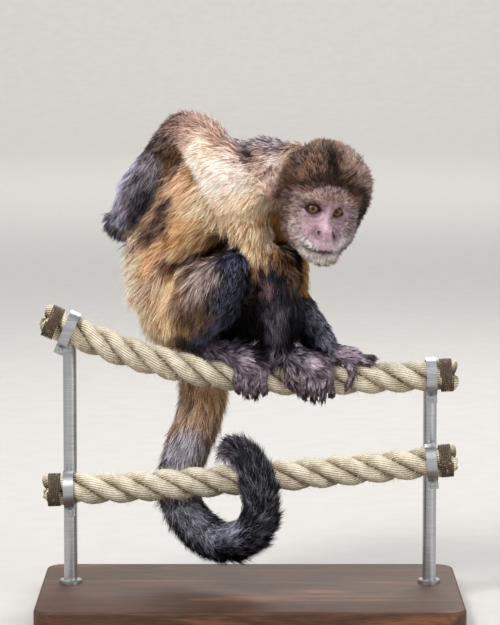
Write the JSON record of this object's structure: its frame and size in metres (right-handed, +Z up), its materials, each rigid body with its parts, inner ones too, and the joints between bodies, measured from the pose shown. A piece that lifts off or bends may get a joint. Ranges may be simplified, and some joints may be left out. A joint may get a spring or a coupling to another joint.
{
  "type": "capuchin monkey model",
  "caption": "Life-size still model of a capuchin monkey squatting on a rope with its tail round a second rope, held by a display stand.",
  "frame": {"origin": "middle of the underside of the stand's base, on the surface it stands on", "axes": "+Z up; +X along the ropes to the monkey's left hand; -Y towards the side that the face and the toes turn to"},
  "size_m": [0.372, 0.236, 0.4416],
  "materials": {
    "rope_fibre": "dry laid hemp fibre",
    "stand_wood": "dark stained satin",
    "stand_steel": "brushed",
    "eye": "polished amber brown iris",
    "ear_skin": "thin bare skin",
    "head_coat": "short dense fur",
    "gold_coat": "long soft fur",
    "back_coat": "long coarse fur",
    "thigh_coat": "grizzled fur",
    "black_coat": "black glossy fur",
    "hand_skin": "dark creased skin"
  },
  "bodies": {
    "root": {"rope_upper": "rope_fibre", "rope_lower": "rope_fibre", "stand_base": "stand_wood", "stand_post_left": "stand_steel", "stand_post_right": "stand_steel", "trunk_chest": "gold_coat", "trunk_loin": "back_coat", "neck": "gold_coat", "eye_right": "eye", "eye_left": "eye", "head": "head_coat", "ear_right": "ear_skin", "ear_left": "ear_skin", "upper_arm_right": "gold_coat", "forearm_right": "black_coat", "upper_arm_left": "gold_coat", "forearm_left": "black_coat", "thigh_right": "thigh_coat", "thigh_left": "thigh_coat", "shin_right": "black_coat", "shin_left": "black_coat", "tail_1": "back_coat", "tail_2": "back_coat", "tail_3": "black_coat", "tail_4": "black_coat", "tail_5": "black_coat", "tail_6": "black_coat", "tail_7": "black_coat", "foot_right": "hand_skin", "foot_left": "hand_skin", "hand_left": "hand_skin", "hand_right": "hand_skin", "toe_right_1": "hand_skin", "toe_right_2": "hand_skin", "toe_right_3": "hand_skin", "toe_right_4": "hand_skin", "toe_right_5": "hand_skin", "toe_left_1": "hand_skin", "toe_left_2": "hand_skin", "toe_left_3": "hand_skin", "toe_left_4": "hand_skin", "toe_left_5": "hand_skin", "finger_left_1": "hand_skin", "finger_left_2": "hand_skin", "finger_left_3": "hand_skin", "finger_left_4": "hand_skin", "finger_left_5": "hand_skin", "finger_right_1": "hand_skin", "finger_right_2": "hand_skin", "finger_right_3": "hand_skin", "finger_right_4": "hand_skin", "finger_right_5": "hand_skin"}
  },
  "joints": []
}
